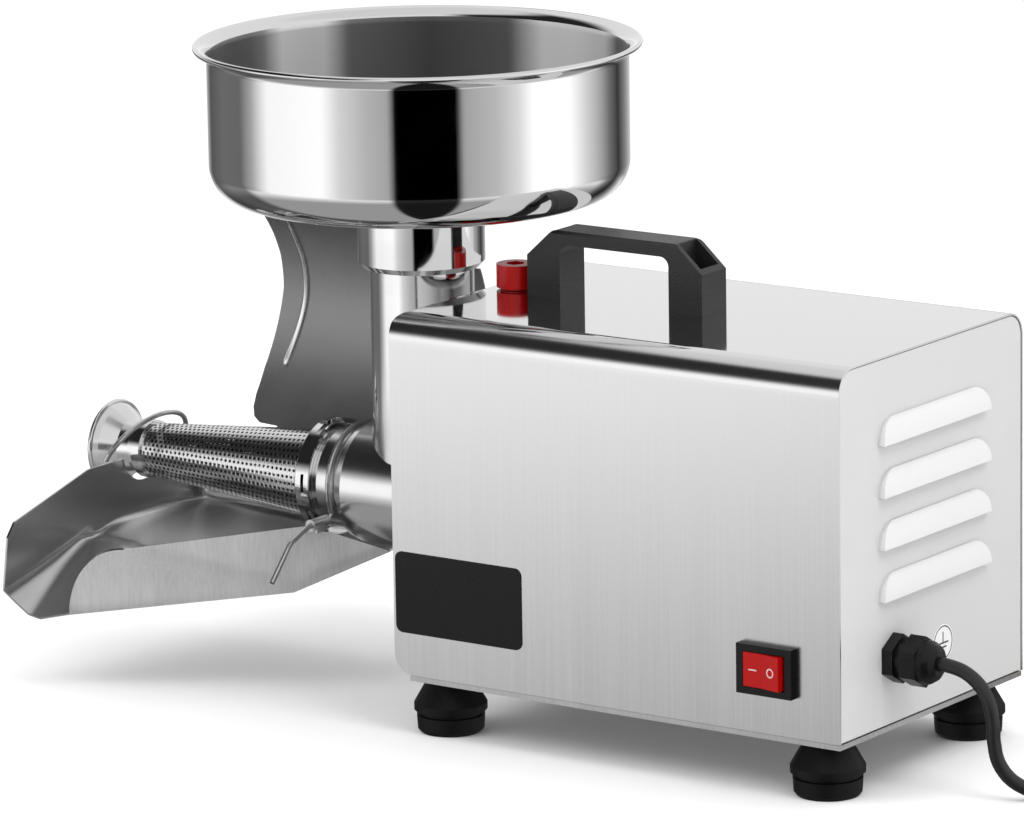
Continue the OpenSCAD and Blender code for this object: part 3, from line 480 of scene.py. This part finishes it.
def make_cone():
    bm = bmesh.new()
    steps = 2 * CONE_HOLES + 3
    step = (CONE_START - CONE_END) / steps
    turn = 2 * math.pi / CONE_STRIPS

    def on_cone(run, angle):
        r = cone_radius(run)
        return at(CONE_START - run, r * math.cos(angle), AXIS_Z / MM + r * math.sin(angle))

    grid = [[bm.verts.new(on_cone(i * step, j * turn)) for i in range(steps + 1)]
            for j in range(CONE_STRIPS)]
    for j in range(CONE_STRIPS):
        near, far = grid[j], grid[(j + 1) % CONE_STRIPS]
        first = 1 + j % 2
        for i in [k for k in range(steps) if k < first or k >= first + 2 * CONE_HOLES]:
            bm.faces.new((near[i], near[i + 1], far[i + 1], far[i]))
        for i in range(first, first + 2 * CONE_HOLES, 2):
            middle_angle = (j + 0.5) * turn
            run = (i + 1) * step
            r = cone_radius(run)
            hole = []
            for k in range(8):
                a = math.radians(45 * k + 225)
                hole.append(bm.verts.new(on_cone(
                    run + HOLE_R * math.cos(a), middle_angle + HOLE_R * math.sin(a) / r)))
            outline = [near[i], near[i + 1], near[i + 2], None, far[i + 2], far[i + 1], far[i], None]
            for k in range(8):
                one, two = outline[k], outline[(k + 1) % 8]
                if one and two:
                    bm.faces.new((one, two, hole[(k + 1) % 8], hole[k]))
            for side, (low, high) in ((3, (near[i + 2], far[i + 2])), (7, (far[i], near[i]))):
                bm.faces.new((low, high, hole[(side + 1) % 8], hole[side], hole[side - 1]))
    bmesh.ops.recalc_face_normals(bm, faces=bm.faces)
    bmesh.ops.solidify(bm, geom=bm.faces[:], thickness=CONE_SHEET * MM)
    profile = [(NECK_END, CONE_R1 - CONE_SHEET), (NECK_END, FLANGE_R), (NECK_END - FLANGE_T, FLANGE_R),
               (NECK_END - FLANGE_T, CONE_R1), (CONE_START, CONE_R1), (CONE_START, CONE_R1 - CONE_SHEET)]
    spin(bm, profile, 96, at(0, 0, AXIS_Z / MM), EAST, NORTH)
    mesh = finished(bm, "perforated_cone")
    add_piece("perforated_cone", mesh, "head", "sieve", "strainer_cone", smooth=False)
    # Painted shade: the cone's inside and hole walls go near black so that the holes look dark.
    mesh.materials.append(MATERIALS["sieve_in"].material)
    for face in mesh.polygons:
        middle = face.center
        run = (CASE_LEFT - middle.x) / MM + CONE_START
        r = math.hypot(middle.y, middle.z - AXIS_Z) / MM
        if 0 < run and r < cone_radius(run) - CONE_SHADE_DEPTH:
            face.material_index = 1


def spin(bm, profile, segments, foot, axis, start):
    """Closed ring from points (distance from foot along axis, radius) in millimetres."""
    verts = [bm.verts.new(foot + (axis * along + start * r) * MM) for along, r in profile]
    edges = [bm.edges.new(pair) for pair in zip(verts, verts[1:] + verts[:1])]
    bmesh.ops.spin(bm, geom=verts + edges, cent=foot, axis=axis, angle=2 * math.pi, steps=segments,
                   use_merge=True)


def finished(bm, name, outwards=True):
    """The mesh of bm, its faces first turned outwards if asked."""
    if outwards:
        bmesh.ops.recalc_face_normals(bm, faces=bm.faces)
    mesh = bpy.data.meshes.new(name)
    bm.to_mesh(mesh)
    bm.free()
    return mesh


make_cone()


def arc(z, r, radius, start, end, steps):
    """Points (z, r) of an arc in the plane through the hopper's axis; 0 degrees points outwards."""
    angles = [math.radians(start + (end - start) * k / steps) for k in range(steps + 1)]
    return [(z + radius * math.sin(a), r + radius * math.cos(a)) for a in angles]


def make_bowl():
    corner = (BOWL_Z + BOWL_CORNER, BOWL_R - BOWL_CORNER)
    flare = (RIM_Z - FLARE, BOWL_R - BOWL_T + FLARE)
    profile = [(SPIGOT_Z, SPIGOT_IN), (SPIGOT_Z, SPIGOT_R), (BOWL_Z, SPIGOT_R)]
    profile += arc(*corner, BOWL_CORNER, -90, 0, 28)
    profile += arc(*flare, FLARE - BOWL_T, 180, 118, 12)
    profile += arc(RIM_Z - BEAD_R, RIM_R - BEAD_R, BEAD_R, 195, 450, 28)
    profile += arc(*flare, FLARE, 100, 180, 16)
    profile += arc(*corner, BOWL_CORNER - BOWL_T, 0, -90, 28)
    profile += [(BOWL_Z + BOWL_T, SPIGOT_IN)]
    bm = bmesh.new()
    spin(bm, profile, 192, Vector((FEED_X, 0, 0)), UP, EAST)
    mesh = finished(bm, "spun_hopper")
    add_piece("spun_hopper", mesh, "hopper_body", "bowl", "hopper")
    mesh.set_sharp_from_angle(angle=math.radians(SHARP_BOWL))


make_bowl()


# Chute: sheet between the corners that part.scad has, its folds rounded by blending the normals
# of a fine mesh
LEFT_FOLD, LEFT_TOP = (-227, -47.5, 68), (-227, -47.5, 102.4)
LIP_LOW, LIP_HIGH, LIP_ROUND = (-231.4, -114.4, 50.5), (-227.9, -114.4, 79), (-227.4, -109, 86.5)
LIP_CURVE = ((-223.3, -114.4, 45), (-215.1, -114.4, 39.8), (-207.4, -114.4, 38.5))
REAR_LOW, REAR_HIGH = (-227, 48, 69.5), (-227, 48, 102.4)
REAR_END_LOW, REAR_END_HIGH = (-85, 46, 64), (-85, 46, 92)
NOSE, BROW, HEEL = (-187.7, -114.4, 43.6), (-158, -105, 80), (-91, -49, 54.2)
TAB, TONGUE, TAIL = (-88, -42, 88), ((-83.7, -38.3, 85.2), (-78, -33.9, 84.4)), (-54, -15, 73.5)
NOTCH_R = 17.5
CHUTE_T = 1.2
CHUTE_MESH, FOLD_R = 3.2, 8


def make_chute():
    notch_from = math.degrees(math.acos((AXIS_Z / MM - LEFT_TOP[2]) / NOTCH_R))
    notch = [(-227, NOTCH_R * math.sin(math.radians(a)), AXIS_Z / MM - NOTCH_R * math.cos(math.radians(a)))
             for a in (notch_from * (k / 8 - 1) for k in range(17))]
    edge = []
    for k in range(13):
        a = math.pi / 2 * k / 12
        edge.append(tuple(n + (b - n) * s for n, b, s in
                          zip(NOSE, BROW, (1 - math.cos(a), 1 - math.cos(a), math.sin(a)))))
    fans = [[LEFT_FOLD, LIP_LOW, LIP_HIGH, LIP_ROUND, LEFT_TOP], [LEFT_FOLD, LEFT_TOP, *notch[:9]],
            [REAR_LOW, LEFT_FOLD, *notch[8:], REAR_HIGH], [REAR_LOW, REAR_HIGH, REAR_END_HIGH, REAR_END_LOW],
            [LEFT_FOLD, NOSE, HEEL], [LEFT_FOLD, HEEL, REAR_LOW], [REAR_LOW, HEEL, REAR_END_LOW],
            [HEEL, TAIL, REAR_END_LOW], [HEEL, *edge, TAB], [HEEL, TAB, *TONGUE, TAIL]]
    lip = [LIP_LOW, *LIP_CURVE, NOSE]
    fans += [[LEFT_FOLD, a, b] for a, b in zip(lip, lip[1:])]
    bm = bmesh.new()
    corners = {p: bm.verts.new(at(*p)) for p in dict.fromkeys(p for fan in fans for p in fan)}
    for first, *rest in fans:
        for a, b in zip(rest, rest[1:]):
            bm.faces.new([corners[p] for p in (first, a, b)])
    bmesh.ops.recalc_face_normals(bm, faces=bm.faces[:])
    bm.normal_update()
    if sum(f.normal.z * f.calc_area() for f in bm.faces) < 0:
        bmesh.ops.reverse_faces(bm, faces=bm.faces[:])
        bm.normal_update()
    sheets = [([v.co.copy() for v in f.verts], f.normal.copy()) for f in bm.faces]
    bm = refined(bm, CHUTE_MESH * MM)
    bm.normal_update()
    normals = []
    for v in bm.verts:
        total = Vector()
        for (a, b, c), normal in sheets:
            away = (closest_point_on_tri(v.co, a, b, c) - v.co).length / (FOLD_R * MM)
            total += normal * max(0.0, 1 - away) ** 2
        normals.append(total.normalized())
    bm.verts.index_update()
    thicken(bm, CHUTE_T * MM)
    mesh = finished(bm, "folded_chute", outwards=False)
    add_piece("folded_chute", mesh, "head", "chute_in", "chute")
    # Underside faces take the lighter outer steel and the rest the darker inner steel: painted light and
    # shade.
    mesh.materials.append(MATERIALS["chute_out"].material)
    loops = []
    count = len(normals)
    for face in mesh.polygons:
        under = face.vertices[0] >= count
        side = not under and any(k >= count for k in face.vertices)
        face.material_index = 1 if under else 0
        face.use_smooth = not side
        for k in face.vertices:
            loops.append((0, 0, 0) if side else -normals[k - count] if under else normals[k])
    mesh.normals_split_custom_set(loops)


def refined(bm, limit):
    """The same triangles, split until no edge is longer than the limit."""
    bm.verts.index_update()
    points = [v.co.copy() for v in bm.verts]
    triangles = [tuple(v.index for v in f.verts) for f in bm.faces]
    bm.free()
    while True:
        middles = {}

        def middle(a, b):
            key = (min(a, b), max(a, b))
            if key not in middles and (points[a] - points[b]).length > limit:
                points.append((points[a] + points[b]) / 2)
                middles[key] = len(points) - 1
            return middles.get(key)

        split = []
        for a, b, c in triangles:
            ab, bc, ca = middle(a, b), middle(b, c), middle(c, a)
            while (ab is None and (bc is not None or ca is not None)) or (bc is None and ca is not None):
                a, b, c, ab, bc, ca = b, c, a, bc, ca, ab
            if ab is None:
                split.append((a, b, c))
            elif bc is None:
                split += [(a, ab, c), (ab, b, c)]
            elif ca is None:
                split += [(ab, b, bc), (a, ab, bc), (a, bc, c)]
            else:
                split += [(a, ab, ca), (ab, b, bc), (ca, bc, c), (ab, bc, ca)]
        triangles = split
        if not middles:
            break
    fine = bmesh.new()
    verts = [fine.verts.new(p) for p in points]
    for corners in triangles:
        fine.faces.new([verts[k] for k in corners])
    return fine


def thicken(bm, thickness):
    """Makes an open sheet a closed one, half of its thickness on either side."""
    edges = [e.verts[:] for e in bm.edges if e.is_boundary]
    faces = [f.verts[:] for f in bm.faces]
    walked = {(a, b) for f in bm.faces for a, b in zip(f.verts[:], f.verts[1:] + f.verts[:1])}
    tops = bm.verts[:]
    pairs = {v: bm.verts.new(v.co - v.normal * (thickness / 2)) for v in tops}
    for v in tops:
        v.co += v.normal * (thickness / 2)
    for corners in faces:
        bm.faces.new([pairs[v] for v in reversed(corners)])
    for a, b in edges:
        if (a, b) in walked:
            a, b = b, a
        bm.faces.new((a, b, pairs[b], pairs[a]))


make_chute()


# Pressed rib on the splash guard's front
GUARD_Y, GUARD_Z, GUARD_R_UP, GUARD_R_DOWN = 50.9, 183, 74, 100
RIB_PATH = ((-151, 236), (-153, 226), (-152.4, 205), (-154, 186), (-160, 164), (-165, 148))
RIB_HALF, RIB_RISE, RIB_SUNK = 2.2, 1.6, 0.1
RIB_STRIPS = 12


def make_rib():
    path = []
    for k in range(len(RIB_PATH) - 1):
        before, a, b, after = (Vector(RIB_PATH[min(max(k + d, 0), len(RIB_PATH) - 1)]) for d in (-1, 0, 1, 2))
        for t in (i / 8 for i in range(8)):
            path.append(0.5 * (2 * a + (b - before) * t + (2 * before - 5 * a + 4 * b - after) * t * t
                               + (3 * a - before - 3 * b + after) * t * t * t))
    path.append(Vector(RIB_PATH[-1]))
    bm = bmesh.new()
    rows = []
    for k, spot in enumerate(path):
        run = (path[min(k + 1, len(path) - 1)] - path[max(k - 1, 0)]).normalized()
        across = Vector((run.y, -run.x))
        end = min(1.0, min(k, len(path) - 1 - k) / 3)
        row = []
        for i in range(RIB_STRIPS + 1):
            u = 2 * i / RIB_STRIPS - 1
            x, z = spot + across * (u * RIB_HALF)
            r = GUARD_R_UP if z > GUARD_Z else GUARD_R_DOWN
            sheet = GUARD_Y - r + math.sqrt(r * r - (z - GUARD_Z) ** 2)
            lift = RIB_RISE * math.sqrt(max(0.0, 1 - u * u)) * math.sqrt(end * (2 - end)) - RIB_SUNK
            row.append(bm.verts.new(at(x, sheet - lift, z)))
        rows.append(row)
    for one, two in zip(rows, rows[1:]):
        for k in range(RIB_STRIPS):
            bm.faces.new((one[k], one[k + 1], two[k + 1], two[k]))
    bm.normal_update()
    if sum(f.normal.y for f in bm.faces) > 0:
        bmesh.ops.reverse_faces(bm, faces=bm.faces[:])
    add_piece("guard_rib", finished(bm, "guard_rib", outwards=False), "head", "spun")


make_rib()


# Bare rating plate, earth disc and the marks on the rocker
PLATE_LEFT, PLATE_RIGHT, PLATE_LOW, PLATE_HIGH = 1.5, 79, 53.5, 95.5
PLATE_SUNK, PLATE_T, PLATE_CORNER = 0.2, 0.6, 4
CORNER_STEPS = 6
EARTH_Y, EARTH_Z, EARTH_R = 9.5, 62.1, 9.5
EARTH_RING, EARTH_STEM, STEM_UP = (8.2, 8.8), 5.4, 3
EARTH_BARS, BAR_GAP, EARTH_LINE = (10, 6.6, 3.2), 2.2, 0.8
WALL_BACK, DISC_SUNK, DISC_T, DISC_HOLE, INK_RISE, INK_T = 0.4, 0.2, 0.4, 0.05, 0.15, 0.1
SWITCH_X, SWITCH_DEPTH, SWITCH_Z, SWITCH_REST = 225.4, 0.5, 64, -7
# Half of the rocker's width, how far its middle lies back from its ends, and its face before the pivot
ROCKER_HALF, ROCKER_DIP, ROCKER_FACE = 11, 1.1, 5.95
MARK_LINE, MARK_RING, MARK_T = (4.6, 0.7), (1.7, 2.4), 0.08


def slab(bm, outline, out, thickness):
    """Flat plate with this outline, raised along out by a thickness in millimetres."""
    face = bm.faces.new([bm.verts.new(p) for p in outline])
    raised = bmesh.ops.extrude_face_region(bm, geom=[face])
    moved = [g for g in raised["geom"] if isinstance(g, bmesh.types.BMVert)]
    bmesh.ops.translate(bm, verts=moved, vec=out * thickness * MM)


def rounded(corners, radius):
    """Outline with rounded corners through four corners in turn."""
    outline = []
    for k, corner in enumerate(corners):
        before = (corners[k - 1] - corner).normalized()
        after = (corners[(k + 1) % 4] - corner).normalized()
        centre = corner + (before + after) * radius
        for i in range(CORNER_STEPS + 1):
            t = math.radians(90 * i / CORNER_STEPS)
            outline.append(centre - after * radius * math.cos(t) - before * radius * math.sin(t))
    return outline


def make_plate():
    y = CASE_FRONT / MM + PLATE_SUNK
    corners = [at(x, y, z) for x, z in ((PLATE_LEFT, PLATE_LOW), (PLATE_RIGHT, PLATE_LOW),
                                        (PLATE_RIGHT, PLATE_HIGH), (PLATE_LEFT, PLATE_HIGH))]
    bm = bmesh.new()
    slab(bm, rounded(corners, PLATE_CORNER * MM), -NORTH, PLATE_T)
    add_piece("rating_plate", finished(bm, "rating_plate"), "base", "plate", smooth=False)


def flat_ring(bm, centre, across, out, r_in, r_out, thickness, segments=48):
    """Flat ring raised along out, in millimetres."""
    spin(bm, [(0, r_in), (0, r_out), (thickness, r_out), (thickness, r_in)], segments, centre, out, across)


def bar(bm, centre, across, out, width, height, thickness):
    """Small upright bar raised along out, in millimetres."""
    corners = [centre + (across * sx * width + UP * sy * height) * MM / 2
               for sx, sy in ((-1, -1), (1, -1), (1, 1), (-1, 1))]
    slab(bm, corners, out, thickness)


def make_earth_mark():
    wall = at(CASE_L - WALL_BACK, EARTH_Y, EARTH_Z)
    bm = bmesh.new()
    flat_ring(bm, wall - EAST * DISC_SUNK * MM, NORTH, EAST, DISC_HOLE, EARTH_R, DISC_T)
    add_piece("earth_disc", finished(bm, "earth_disc"), "base", "sticker", smooth=False)
    bm = bmesh.new()
    face = wall + EAST * INK_RISE * MM
    flat_ring(bm, face, NORTH, EAST, *EARTH_RING, INK_T)
    bar(bm, face + UP * STEM_UP * MM, NORTH, EAST, EARTH_LINE, EARTH_STEM, INK_T)
    for k, width in enumerate(EARTH_BARS):
        bar(bm, face - UP * BAR_GAP * k * MM, NORTH, EAST, width, EARTH_LINE, INK_T)
    add_piece("earth_lines", finished(bm, "earth_lines"), "base", "ink", smooth=False)


def make_switch_marks():
    """A line and a ring on the rocker's two slopes."""
    tilt = Matrix.Rotation(math.radians(SWITCH_REST), 3, "Z")
    pivot = at(SWITCH_X, CASE_FRONT / MM + SWITCH_DEPTH, SWITCH_Z)
    bm = bmesh.new()
    for side in (-1, 1):
        across = tilt @ Vector((ROCKER_HALF, -ROCKER_DIP * side, 0)).normalized()
        out = tilt @ Vector((-ROCKER_DIP * side, -ROCKER_HALF, 0)).normalized()
        centre = pivot + tilt @ Vector((ROCKER_HALF / 2 * side * MM, -ROCKER_FACE * MM, 0))
        if side < 0:
            bar(bm, centre, across, out, *MARK_LINE, MARK_T)
        else:
            flat_ring(bm, centre, across, out, *MARK_RING, MARK_T, 32)
    add_piece("rocker_marks", finished(bm, "rocker_marks"), "rocker_body", "mark", smooth=False)


make_plate()
make_earth_mark()
make_switch_marks()


# Studio: pale floor, soft lamps, and a ring of white cards and black flags that only metal mirrors
ROOM_R = 1.2
# Brightness round the camera's direction, in degrees, positive towards the right. Derived from greys
# read along the hopper's side in the photo, and rounded.
CARDS = ((-180, 0.75), (-166, 0.60), (-150, 0.10), (-128, 0.17), (-110, 0.16), (-100, 0.45), (-88, 1.15),
         (-54, 1.25), (-44, 0.80), (-30, 0.56), (-18, 0.45), (-14, 0.0), (19, 0.0), (23, 0.44),
         (42, 0.60), (54, 0.85), (64, 1.30), (88, 1.30), (102, 0.80), (116, 0.45), (126, 0.18),
         (138, 0.04), (150, 0.24), (166, 0.60), (180, 0.75))


def make_world():
    world = bpy.data.worlds.new("studio")
    bpy.context.scene.world = world
    world.use_nodes = True
    ground = world.node_tree.nodes["Background"]
    ground.inputs["Color"].default_value = (1, 1, 1, 1)
    ground.inputs["Strength"].default_value = 1.0


def make_room():
    bm = bmesh.new()
    bmesh.ops.create_uvsphere(bm, u_segments=64, v_segments=32, radius=ROOM_R)
    room = new_object("light_room", finished(bm, "light_room"))
    shader = Shader("light_room", base_color=(0.0, 0.0, 0.0), roughness=1.0)
    shader.surface.inputs["Specular IOR Level"].default_value = 0
    shader.surface.inputs["Emission Strength"].default_value = 1
    here = shader.node("ShaderNodeTexCoord", output="Object")
    turned = shader.node("ShaderNodeMapping", None, {
        "Vector": here, "Rotation": (0, 0, math.radians(90 - AZIMUTH))})
    x, y, z = (shader.node("ShaderNodeSeparateXYZ", None, {"Vector": turned}, output=axis)
               for axis in range(3))
    around = x.around(y)
    band = shader.node("ShaderNodeValToRGB", {
        "stops": [(a / 360 + 0.5, tone) for a, tone in CARDS]}, {"Fac": around})
    low = z.smooth(-0.40, 0.0, 0.36, 1.05) * band.smooth(0.0, 0.5, 0.03, 1.0)
    low = low + z.smooth(-0.14, -0.04) * (band - low)
    flag = 0.85 - around.smooth(0.08, 0.16, 0.0, 0.83) * around.smooth(0.38, 0.45, 1.0, 0.0)
    high = z.smooth(0.22, 0.58, 1.05, flag)
    high = high + z.smooth(1.02, 1.12) * (0.75 - high)
    shader.set(emission_color=low + z.smooth(0.24, 0.34) * (high - low))
    room.data.materials.append(shader.material)
    room.visible_camera = room.visible_diffuse = room.visible_shadow = False
    room.visible_transmission = room.visible_volume_scatter = False


def softbox(name, place, target, size, power):
    data = bpy.data.lights.new(name, "AREA")
    data.shape = "RECTANGLE"
    data.size, data.size_y = size
    data.energy = power
    lamp = new_object(name, data)
    lamp.location = place
    lamp.rotation_euler = (Vector(target) - Vector(place)).to_track_quat("-Z", "Y").to_euler()
    lamp.visible_glossy = False


def make_floor():
    bm = bmesh.new()
    bmesh.ops.create_grid(bm, x_segments=1, y_segments=1, size=8)
    floor = new_object("floor", finished(bm, "floor", outwards=False))
    shader = Shader("floor_paper", base_color=(0.93, 0.93, 0.93), roughness=0.9)
    floor.data.materials.append(shader.material)
    floor.visible_glossy = False


make_world()
make_room()
softbox("key", (-1.0, -1.5, 1.8), (0, 0, 0.15), (1.2, 1.2), 14)
softbox("fill", (1.3, -0.4, 1.9), (0.2, 0, 0.15), (0.8, 0.8), 13)
softbox("top", (0.1, 0.3, 2.0), (0, 0, 0.15), (1.4, 1.0), 8)
make_floor()

bpy.context.scene.view_settings.view_transform = "Standard"
